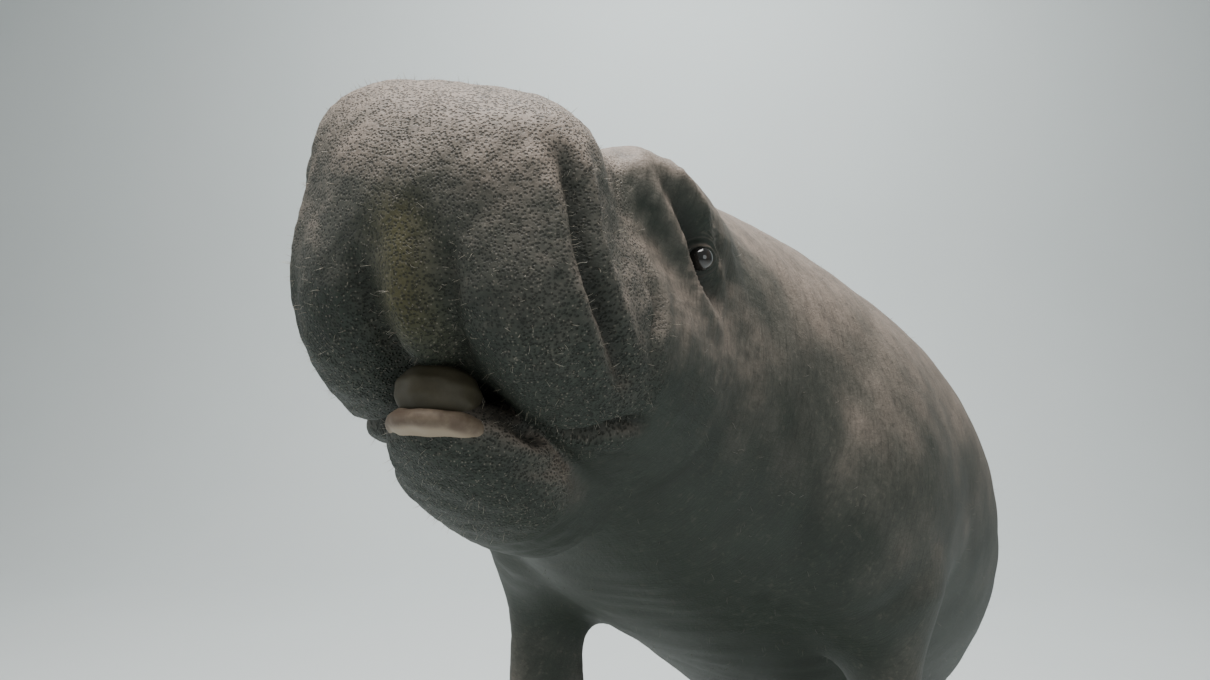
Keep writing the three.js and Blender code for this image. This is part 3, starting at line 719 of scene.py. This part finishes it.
class Finish:
    """A material whose nodes are added one call at a time."""

    def __init__(self, name):
        self.material = bpy.data.materials.new(name)
        self.material.use_nodes = True
        self.tree = self.material.node_tree
        self.shader = self.tree.nodes["Principled BSDF"]

    def node(self, kind, settings=None, sockets=None, output=0):
        made = self.tree.nodes.new(kind)
        for key, value in (settings or {}).items():
            setattr(made, key, value)
        for key, value in (sockets or {}).items():
            self.link(made.inputs[key], value)
        return Wire(self, made.outputs[output])

    def link(self, socket, value):
        if isinstance(value, Wire):
            self.tree.links.new(value.socket, socket)
        elif isinstance(value, tuple) and len(value) == 3 and socket.type == "RGBA":
            socket.default_value = (*value, 1)
        else:
            socket.default_value = value

    def set(self, **sockets):
        for key, value in sockets.items():
            self.link(self.shader.inputs[key.replace("_", " ")], value)

    def mix(self, below, above, factor):
        return self.node("ShaderNodeMix", {"data_type": "RGBA"}, {0: factor, 6: below, 7: above}, 2)

    def place(self):
        return self.node("ShaderNodeTexCoord", None, None, "Object")

    def read(self, name, output="Fac"):
        return self.node("ShaderNodeAttribute", {"attribute_name": name}, None, output)

    def noise(self, place, scale, detail=3.0, rough=0.55):
        return self.node("ShaderNodeTexNoise", None,
                         {"Vector": place, "Scale": scale, "Detail": detail, "Roughness": rough})

    def cells(self, place, scale, feature="F1"):
        return self.node("ShaderNodeTexVoronoi", {"feature": feature}, {"Vector": place, "Scale": scale})

    def stretched(self, place, scale):
        return self.node("ShaderNodeMapping", None, {"Vector": place, "Scale": scale})

    def bump(self, height, strength, distance, below=None):
        sockets = {"Height": height, "Strength": strength, "Distance": distance}
        if below is not None:
            sockets["Normal"] = below
        return self.node("ShaderNodeBump", None, sockets)


# %% [markdown]
# ## The skin's finish
# A manatee's hide is dull grey-brown. Where the skin faces down it is painted grey and then dark green,
# partly a green algae film and partly painted shade, and creases, eye pockets, nostril slits and the jaw's
# top get painted shade too. The muzzle is covered with small dark pits, and the rest is crazed with fine
# wrinkles.
# Colours vary with the body's own coordinates, so they bend with the neck and the tail.

# %% Skin colours
TAUPE = (0.29, 0.235, 0.195)
# GREY and the dark green below are mixed in where the skin faces down: painted shade, partly also a green
# algae film
GREY = (0.105, 0.102, 0.086)
GREEN_FILM_AND_SHADE = (0.024, 0.035, 0.026)
OLIVE = (0.1, 0.09, 0.036)
# A dark colour for pits, wrinkle lines and dark mottling, also used for painted shade in creases and hollows
DARK_MARK_AND_SHADE = (0.02, 0.022, 0.018)
PALE = (0.40, 0.35, 0.29)


# %% Skin finish
def skin_finish():
    hide = Finish("hide")
    body = hide.read("body", "Vector")
    pitted, crease_shade, under_shade = (hide.read(name) for name in ("pitted", "crease_shade", "under_shade"))
    blotch = hide.noise(body, 5.0, 5.0, 0.6)
    speck = hide.noise(body, 110.0, 4.0, 0.7)
    fine = hide.noise(body, 420.0, 3.0, 0.6)
    ringed = hide.noise(hide.stretched(body, (36.0, 330.0, 36.0)), 1.0, 4.0, 0.6)
    lengthwise = hide.noise(hide.stretched(body, (220.0, 48.0, 220.0)), 1.0, 4.0, 0.6)
    crazed = hide.cells(body, 190.0, "DISTANCE_TO_EDGE")
    roots = hide.cells(body, 385.0)
    grains = hide.cells(body, 270.0)
    patchy = hide.noise(body, 34.0, 3.0, 0.6)
    pit = (1 - roots.step(0.22, 0.56)) * (pitted + (1 - pitted) * (1 - under_shade) * 0.16)
    dot = (1 - grains.step(0.12, 0.26)) * pitted
    lines = (1 - crazed.step(0.0, 0.16)) * (1 - pitted)
    shade = under_shade + (blotch - 0.5) * 0.3
    # Painted shade: taupe on top, grey on the sides and dark green where the skin faces down, the green
    # partly an algae film
    colour = hide.mix(TAUPE, GREY, shade.step(0.18, 0.5))
    colour = hide.mix(colour, GREEN_FILM_AND_SHADE, shade.step(0.4, 0.74) * 0.9)
    colour = hide.mix(colour, OLIVE, hide.read("ridge") * blotch.step(0.2, 0.55) * 0.8)
    # Pale specks, fewer where the painted underside shade lies
    colour = hide.mix(colour, PALE, speck.step(0.52, 0.78) * (0.3 - under_shade * 0.18))
    colour = hide.mix(colour, DARK_MARK_AND_SHADE, (1 - speck.step(0.3, 0.52)) * 0.36)
    colour = hide.mix(colour, DARK_MARK_AND_SHADE, (1 - patchy.step(0.3, 0.6)) * 0.22)
    colour = hide.mix(colour, DARK_MARK_AND_SHADE, (1 - ringed.step(0.3, 0.52)) * (1 - pitted) * 0.3)
    colour = hide.mix(colour, DARK_MARK_AND_SHADE, lines * 0.14)
    colour = hide.mix(colour, DARK_MARK_AND_SHADE, pit * 0.72)
    colour = hide.mix(colour, PALE, dot * 0.34)
    # Painted shade in fold creases, eye pockets, nostril slits and on the jaw's top
    colour = hide.mix(colour, DARK_MARK_AND_SHADE, crease_shade * 0.75)
    relief = hide.bump(ringed + lengthwise * 0.7, 0.4, 0.0022)
    relief = hide.bump(crazed.step(0.0, 0.2), 0.25, 0.0005, relief)
    relief = hide.bump(1 - pit, 0.8, 0.0012, relief)
    relief = hide.bump(fine + speck, 0.35, 0.0006, relief)
    hide.set(Base_Color=colour, Roughness=0.6 + (speck - 0.5) * 0.3, Normal=relief)
    hide.shader.inputs["Specular IOR Level"].default_value = 0.35
    return hide.material


skin.data.materials.append(skin_finish())
FLESH_NODES = ("nose_and_upper_lip", "head", "lower_jaw", "neck", "chest", "belly", "tail_stock",
               "tail_paddle", "flipper_left", "flipper_right")
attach(skin, "root")
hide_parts(*FLESH_NODES)
print("skin stands for", len(FLESH_NODES), "nodes")

# %% [markdown]
# ## The mouth's pads
# Between the lip lobes show the horny pad of the palate and, below it, the paler pad of the lower lip. Each
# is a round form of its own, walked by the same net.

# %% Pads
PAD_CELL = 2.5


def boxed_net(field, low, high, cell):
    axes = [np.arange(a, b + cell, cell) for a, b in zip(low, high)]
    grid = np.meshgrid(*axes, indexing="ij")
    inner = field(*grid)
    close_sides(inner)

    def place(at):
        return np.stack([axes[k][at[:, k]] for k in range(3)], 1)

    net_points, net_quads = surface_net(inner, place)
    return settle(field, net_points, net_quads), net_quads


def pad_finish(name, colour, edge_colour):
    pad = Finish(name)
    body = pad.read("body", "Vector")
    blotch = pad.noise(body, 60.0, 4.0, 0.6)
    grain = pad.noise(pad.stretched(body, (40.0, 160.0, 160.0)), 1.0, 3.0)
    mixed = pad.mix(colour, edge_colour, blotch.step(0.35, 0.75) * 0.5)
    # Below the rim height the pad takes its edge colour: on the lower lip a pale band that is a painted wet
    # highlight, on the palate a darker lower edge
    mixed = pad.mix(edge_colour, mixed, pad.read("rim"))
    pad.set(Base_Color=mixed, Roughness=0.5 + blotch * 0.2, Normal=pad.bump(grain, 0.4, 0.0009))
    return pad.material


def make_pad(name, field, low, high, ridge, rim, finish):
    pad_points, pad_quads = boxed_net(field, low, high, PAD_CELL)
    piece = make_mesh(name, pad_points, pad_quads)
    pad_normals = mesh_normals(piece.data)
    height = ridge * np.cos(pad_points[:, 2] * 0.55 + 0.6 * waves(pad_points, 40, 31))
    height = height + 0.8 * waves(pad_points, 22, 32)
    keep_number(piece.data, "rim", smooth_step(rim[0], rim[1], pad_points[:, 2]))
    set_points(piece.data, posed(pad_points + pad_normals * height[:, None]))
    keep_place(piece.data, "body", pad_points * 0.001)
    piece.data.materials.append(finish)
    piece.data.shade_smooth()
    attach(piece, "root")
    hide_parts(name)
    print(name, "has", len(pad_quads), "quads")


make_pad("palate_pad", palate_pad_form, (-55, 60, -165), (55, 165, -90), 0.4, (-150, -142),
         pad_finish("horny_palate", (0.06, 0.05, 0.028), (0.032, 0.028, 0.016)))
# The lower lip's pale lower rim is a painted wet highlight
make_pad("lower_lip_pad", lip_pad_form, (-66, 66, -178), (66, 170, -126), 0.3, (-164, -160),
         pad_finish("lower_lip", (0.135, 0.092, 0.062), (0.36, 0.29, 0.21)))

# %% [markdown]
# ## The eyes
# The eye is a small dark ball with a brown iris, wet all over. It is turned out to the side, so the iris is
# painted round the ball's outward axis.

# %% Eyes
EYE_WHITE = (0.014, 0.013, 0.012)
IRIS_DARK, IRIS_LIGHT = (0.012, 0.009, 0.007), (0.04, 0.026, 0.016)
PUPIL = (0.002, 0.002, 0.002)


def eye_place(side, out=0.0):
    """The posed centre of one eye, or a point some millimetres out from it."""
    return posed((eye_centre[None] + [[out, 0, 0]]) * np.array([[side, 1, 1]]))[0]


def eye_finish(name, side):
    eye = Finish(name)
    place = eye.place()
    centre = eye_place(side)
    outward = eye_place(side, 1.0) - centre
    outward = outward / np.linalg.norm(outward)
    offset = eye.node("ShaderNodeVectorMath", {"operation": "SUBTRACT"}, {0: place, 1: tuple(centre)})
    pair = {0: offset, 1: tuple(outward)}
    facing = eye.node("ShaderNodeVectorMath", {"operation": "DOT_PRODUCT"}, pair, "Value")
    share = facing * (1000 / EYE["radius"])
    fibres = eye.noise(place, 900.0, 3.0)
    iris = eye.mix(IRIS_DARK, IRIS_LIGHT, fibres.step(0.35, 0.7))
    ball = eye.mix(EYE_WHITE, iris, share.step(0.66, 0.72))
    ball = eye.mix(ball, PUPIL, share.step(0.9, 0.93))
    eye.set(Base_Color=ball, Roughness=0.12 + fibres * 0.05)
    eye.shader.inputs["Coat Weight"].default_value = 1.0
    eye.shader.inputs["Coat Roughness"].default_value = 0.03
    return eye.material


for side, name in ((1, "eye_left"), (-1, "eye_right")):
    work = bmesh.new()
    bmesh.ops.create_uvsphere(work, u_segments=40, v_segments=24, radius=EYE["radius"] * 0.001)
    ball = bpy.data.meshes.new(name)
    work.to_mesh(ball)
    work.free()
    piece = in_scene(name + "_ball", ball)
    set_points(ball, mesh_points(ball) + eye_place(side))
    ball.materials.append(eye_finish(name + "_wet", side))
    ball.shade_smooth()
    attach(piece, "root")
    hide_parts(name)
    print(name, "is a ball of", 2 * EYE["radius"], "mm")

# %% [markdown]
# ## Nails
# Each flipper carries three nails on its outer face, just behind the tip. Six points hold the places, and
# one nail is planted on each of them by a node tree.

# %% Node trees from script
class Tree:
    """A geometry node tree with named inputs."""

    def __init__(self, name, inputs):
        self.tree = bpy.data.node_groups.new(name, "GeometryNodeTree")
        self.tree.interface.new_socket("Geometry", in_out="INPUT", socket_type="NodeSocketGeometry")
        self.keys = {}
        for label, kind in inputs.items():
            made = self.tree.interface.new_socket(label, in_out="INPUT", socket_type="NodeSocket" + kind)
            self.keys[label] = made.identifier
        self.tree.interface.new_socket("Geometry", in_out="OUTPUT", socket_type="NodeSocketGeometry")
        self.given = self.tree.nodes.new("NodeGroupInput").outputs
        self.result = self.tree.nodes.new("NodeGroupOutput").inputs

    def node(self, kind, sockets, output=0, **settings):
        made = self.tree.nodes.new(kind)
        for key, value in settings.items():
            setattr(made, key, value)
        for key, value in sockets.items():
            if isinstance(value, bpy.types.NodeSocket):
                self.tree.links.new(value, made.inputs[key])
            else:
                made.inputs[key].default_value = value
        return made.outputs[output]

    def attribute(self, name, kind="FLOAT"):
        return self.node("GeometryNodeInputNamedAttribute", {"Name": name}, data_type=kind)

    def finish(self, instances):
        real = self.node("GeometryNodeRealizeInstances", {"Geometry": instances})
        done = self.node("GeometryNodeSetMaterial", {"Geometry": real, "Material": self.given["Finish"]})
        self.tree.links.new(done, self.result["Geometry"])


def grow(name, mesh, tree, values):
    """A new object with the mesh that a tree makes from another mesh."""
    piece = in_scene(name, mesh)
    modifier = piece.modifiers.new(name, "NODES")
    modifier.node_group = tree.tree
    for label, value in values.items():
        modifier[tree.keys[label]] = value
    made = bpy.data.meshes.new_from_object(piece.evaluated_get(bpy.context.evaluated_depsgraph_get()))
    piece.modifiers.remove(modifier)
    piece.data = made
    made.name = name
    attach(piece, "root")
    return piece


def pattern_object(name, mesh):
    """An object outside the scene, which a tree copies."""
    return bpy.data.objects.new(name, mesh)


# %% Nail places
def nail_points():
    places, turns = [], []
    for side in (1, -1):
        sided = np.array([side, 1, 1])
        for chord, out in NAIL["places"]:
            bent = (out / FLIPPER["length"]) ** 2 * FLIPPER["bow"]
            at = np.array(FLIPPER["root"]) + OUT * out + CHORD * (chord + bent)
            at = at + THROUGH * (NAIL["out"] - bent)
            _, leftward, up = section(np.array([at[1]]))
            back = np.cross(up[0], leftward[0])
            blade = np.stack([CHORD * sided, THROUGH * sided, OUT * sided * side], 1)
            axes = np.stack([leftward[0], back, up[0]], 1) @ blade
            places.append(posed((at * sided)[None])[0])
            turns.append(Matrix(axes.tolist()).to_euler())
    mesh = bpy.data.meshes.new("nail_places")
    mesh.from_pydata([tuple(place) for place in places], [], [])
    keep_place(mesh, "turn", np.array([tuple(turn) for turn in turns]))
    return mesh


def nail_mesh():
    work = bmesh.new()
    bmesh.ops.create_uvsphere(work, u_segments=24, v_segments=14, radius=0.001)
    for vertex in work.verts:
        x, y, z = (c * 1000 for c in vertex.co)
        edge = math.hypot(x, z)
        vertex.co = (NAIL["size"][0] * x * 1e-3, NAIL["size"][1] * (y - 0.12 * edge**2 * y) * 1e-3,
                     NAIL["size"][2] * (z + 0.12 * (1 - x * x)) * 0.97e-3)
    mesh = bpy.data.meshes.new("nail")
    work.to_mesh(mesh)
    work.free()
    mesh.shade_smooth()
    return mesh


# %% Plant the nails
def nail_tree():
    tree = Tree("planted_nails", {"Nail": "Object", "Finish": "Material"})
    nail = tree.node("GeometryNodeObjectInfo", {"Object": tree.given["Nail"]}, "Geometry")
    points = tree.node("GeometryNodeMeshToPoints", {"Mesh": tree.given["Geometry"]})
    turn = tree.attribute("turn", "FLOAT_VECTOR")
    planted = {"Points": points, "Instance": nail, "Rotation": turn}
    tree.finish(tree.node("GeometryNodeInstanceOnPoints", planted))
    return tree


horn = Finish("nail_horn")
horn_grain = horn.noise(horn.place(), 260.0, 4.0, 0.6)
horn_colour = horn.mix((0.2, 0.17, 0.13), (0.36, 0.31, 0.24), horn_grain)
horn.set(Base_Color=horn_colour, Roughness=0.3 + horn_grain * 0.2, Normal=horn.bump(horn_grain, 0.3, 0.0006))
nails = grow("nails", nail_points(), nail_tree(), {
    "Nail": pattern_object("nail", nail_mesh()), "Finish": horn.material})
print("nails:", len(nails.data.polygons), "faces")

# %% [markdown]
# ## Bristles
# The muzzle and the lips carry short stiff bristles, one here and there among the pits, and the trunk has a
# sparse scatter of fine hairs. A node tree scatters them, leans each a little and makes them solid mesh.
# Every hair also keeps a small patch at its root's place on an unwrap of the skin.

# %% One bristle
BRISTLE_SLIM = 34.0


def bristle_mesh(rings=4, sides=3, bend=0.35):
    """A thin curved spike 1 mm in radius at its root, and as many times that long as it is slim."""
    points, faces, patch = [], [], []
    for ring in range(rings):
        t = ring / (rings - 0.5)
        radius = 1 - 0.75 * t
        for n in range(sides):
            a = 2 * math.pi * n / sides
            lean = bend * t * t * BRISTLE_SLIM
            points.append((radius * math.cos(a) + lean, radius * math.sin(a), t * BRISTLE_SLIM))
            patch.append((n / sides, t, 0))
    points.append((bend * BRISTLE_SLIM, 0, BRISTLE_SLIM))
    patch.append((0.5, 1, 0))
    tip = len(points) - 1
    for ring in range(rings - 1):
        for n in range(sides):
            a, b = ring * sides + n, ring * sides + (n + 1) % sides
            faces.append((a, b, b + sides, a + sides))
    last = (rings - 1) * sides
    faces += [(last + n, last + (n + 1) % sides, tip) for n in range(sides)]
    faces.append(tuple(range(sides))[::-1])
    mesh = bpy.data.meshes.new("bristle")
    mesh.from_pydata([tuple(c * 0.001 for c in point) for point in points], [], faces)
    keep_place(mesh, "patch", np.array(patch))
    mesh.shade_smooth()
    return mesh


# %% Scatter and lean the bristles
def scatter_tree():
    tree = Tree("scattered_bristles", {
        "Bristle": "Object", "Where": "String", "Density": "Float", "Seed": "Int", "Thinnest": "Float",
        "Thickest": "Float", "Lean": "Float", "Finish": "Material"})
    given = tree.given
    where = tree.attribute(given["Where"])
    density = tree.node("ShaderNodeMath", {0: where, 1: given["Density"]}, operation="MULTIPLY")
    spread = tree.node("GeometryNodeDistributePointsOnFaces",
                       {"Mesh": given["Geometry"], "Density": density, "Seed": given["Seed"]})
    facing = spread.node.outputs["Rotation"]
    less = tree.node("ShaderNodeMath", {0: given["Lean"], 1: -1.0}, operation="MULTIPLY")
    low = tree.node("ShaderNodeCombineXYZ", {"X": less, "Y": less, "Z": -3.14})
    high = tree.node("ShaderNodeCombineXYZ", {"X": given["Lean"], "Y": given["Lean"], "Z": 3.14})
    lean = tree.node("FunctionNodeRandomValue", {0: low, 1: high, "Seed": given["Seed"]},
                     data_type="FLOAT_VECTOR")
    turned = tree.node("FunctionNodeRotateRotation", {"Rotation": facing, "Rotate By": lean},
                       rotation_space="LOCAL")
    sizes = {2: given["Thinnest"], 3: given["Thickest"], "Seed": given["Seed"]}
    size = tree.node("FunctionNodeRandomValue", sizes, 1, data_type="FLOAT")
    bristle = tree.node("GeometryNodeObjectInfo", {"Object": given["Bristle"]}, "Geometry")
    tree.finish(tree.node("GeometryNodeInstanceOnPoints",
                          {"Points": spread, "Instance": bristle, "Rotation": turned, "Scale": size}))
    return tree


# %% Each hair's patch on the unwrapped skin
MAP_WIDTH, MAP_START, MAP_LENGTH = 0.98, 0.02, 3.2
HAIR_PATCH = 0.003


def unwrap(body):
    """The skin unrolled: round the body across the map, and from snout to tail up it."""
    round_body = np.arctan2(body[:, 0], body[:, 2]) / (2 * math.pi)
    return np.stack([0.5 + round_body * MAP_WIDTH, MAP_START + body[:, 1] / MAP_LENGTH], 1)


def keep_patches(mesh, size=HAIR_PATCH):
    body, patch = (vectors(mesh.attributes[name].data) for name in ("body", "patch"))
    at = unwrap(body) + (patch[:, :2] - 0.5) * size
    corners = np.empty(len(mesh.loops), np.int32)
    mesh.loops.foreach_get("vertex_index", corners)
    layer = mesh.uv_layers.new(name="OFBake")
    layer.uv.foreach_set("vector", np.ascontiguousarray(at[corners], np.float32).ravel())


def hair_finish(name, root, tip):
    hair = Finish(name)
    along_hair = hair.node("ShaderNodeSeparateXYZ", None, {0: hair.read("patch", "Vector")}, "Y")
    tint = hair.noise(hair.read("body", "Vector"), 60.0, 2.0)
    colour = hair.mix(root, tip, along_hair)
    hair.set(Base_Color=hair.mix(colour, root, tint * 0.4), Roughness=0.4)
    return hair.material


# %% Grow the bristles and the fine hairs
scatter = scatter_tree()
bristle = pattern_object("bristle", bristle_mesh())
bristles = grow("bristles", skin.data, scatter, {
    "Bristle": bristle, "Where": "pitted", "Density": 5200.0, "Seed": 5, "Thinnest": 0.09, "Thickest": 0.24,
    "Lean": 0.45, "Finish": hair_finish("bristle_horn", (0.3, 0.26, 0.2), (0.75, 0.7, 0.6))})
hairs = grow("fine_hairs", skin.data, scatter, {
    "Bristle": bristle, "Where": "hairy", "Density": 420.0, "Seed": 11, "Thinnest": 0.12, "Thickest": 0.24,
    "Lean": 0.7, "Finish": hair_finish("fine_hair", (0.2, 0.18, 0.15), (0.5, 0.46, 0.4))})
for piece in (bristles, hairs):
    keep_patches(piece.data)
    print(piece.name, "has", len(piece.data.polygons), "faces")

# %% [markdown]
# ## The display stand
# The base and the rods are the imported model's own pieces. Only their finish is made here: fine powder coat
# on the base and brushed steel on the rods.

# %% Stand finishes
def stand_finishes():
    coat = Finish("powder_coat")
    place = coat.place()
    grain = coat.noise(place, 900.0, 2.0)
    cloud = coat.noise(place, 6.0, 4.0)
    coat.set(Base_Color=coat.mix((0.02, 0.021, 0.022), (0.034, 0.035, 0.037), cloud),
             Roughness=0.42 + cloud * 0.16, Normal=coat.bump(grain, 0.35, 0.0004))
    steel = Finish("brushed_steel")
    brushed = steel.noise(steel.stretched(steel.place(), (900.0, 900.0, 14.0)), 1.0, 3.0)
    steel.set(Base_Color=steel.mix((0.42, 0.43, 0.44), (0.6, 0.61, 0.62), brushed),
              Roughness=0.24 + brushed * 0.2, Normal=steel.bump(brushed, 0.25, 0.0003))
    steel.shader.inputs["Metallic"].default_value = 1.0
    return coat.material, steel.material


coat, steel = stand_finishes()
for name, finish in (("stand_base", coat), ("stand_rod_front", steel), ("stand_rod_rear", steel)):
    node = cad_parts[name]
    node.data.materials.clear()
    node.data.materials.append(finish)
print("stand finished")

# %% [markdown]
# ## Studio and camera
# The camera stands about 0.8 m from the muzzle, to the animal's left, and looks level, so that the muzzle
# is large in the picture as in the photograph. The light comes from above, and the floor is pale.

# %% Floor
CAMERA_TURN = 27.0
CAMERA_PLACE = (0.496, -1.822, 1.339)
FOCAL_PIXELS = 950
PHOTO_WIDTH = 1210
SENSOR_WIDTH = 36.0


def studio():
    front, depth, height, half_width, bend, steps = -18.0, 5.5, 6.0, 16.0, 2.2, 12
    profile = [(front, 0.0), (depth - bend, 0.0)]
    for n in range(1, steps + 1):
        a = n / steps * math.pi / 2
        profile.append((depth - bend + bend * math.sin(a), bend - bend * math.cos(a)))
    profile.append((depth, height))
    turn = rotation(z=CAMERA_TURN)
    vertices = [turn @ np.array([x, y, z]) for x in (-half_width, half_width) for y, z in profile]
    count = len(profile)
    faces = np.array([[n, n + 1, count + n + 1, count + n] for n in range(count - 1)])[:, ::-1]
    sweep = make_mesh("floor", np.array(vertices), faces, 1.0)
    sweep.data.shade_smooth()
    paper = Finish("pale_paper")
    tint = paper.mix((0.68, 0.71, 0.71), (0.72, 0.75, 0.75), paper.noise(paper.place(), 1.5, 3.0))
    paper.set(Base_Color=tint, Roughness=0.9)
    sweep.data.materials.append(paper.material)


studio()

# %% Camera
camera_data = bpy.data.cameras.new("camera")
camera_data.sensor_width = SENSOR_WIDTH
camera_data.lens = SENSOR_WIDTH * FOCAL_PIXELS / PHOTO_WIDTH
camera_data.clip_start = 0.01
camera = in_scene("camera", camera_data)
camera.location = CAMERA_PLACE
camera.rotation_euler = (math.radians(90), 0, math.radians(CAMERA_TURN))
bpy.context.scene.camera = camera
print("camera lens:", round(camera_data.lens, 2), "mm")


# %% Lights
def aim_light(name, place, aim, size, power, colour):
    data = bpy.data.lights.new(name, "AREA")
    data.shape, data.size, data.energy, data.color = "DISK", size, power, colour
    light = in_scene(name, data)
    light.location = place
    light.rotation_euler = (Vector(aim) - Vector(place)).to_track_quat("-Z", "Y").to_euler()


WARM, COOL = (1.0, 0.98, 0.95), (0.95, 1.0, 1.0)
aim_light("overhead_light", (-0.2, -1.2, 4.2), (0.0, -0.6, 1.0), 2.6, 200, WARM)
aim_light("left_fill", (3.4, -2.6, 2.0), (0.0, -0.6, 1.0), 2.2, 20, COOL)
aim_light("right_fill", (-3.2, -2.4, 1.8), (0.0, -0.8, 1.2), 2.2, 20, COOL)
aim_light("backdrop_light", (-0.6, 1.8, 5.4), (-2.4, 4.4, 1.6), 2.6, 260, COOL)
world = bpy.data.worlds.new("studio_air")
world.use_nodes = True
world.node_tree.nodes["Background"].inputs["Color"].default_value = (0.82, 0.87, 0.86, 1)
world.node_tree.nodes["Background"].inputs["Strength"].default_value = 0.26
bpy.context.scene.world = world
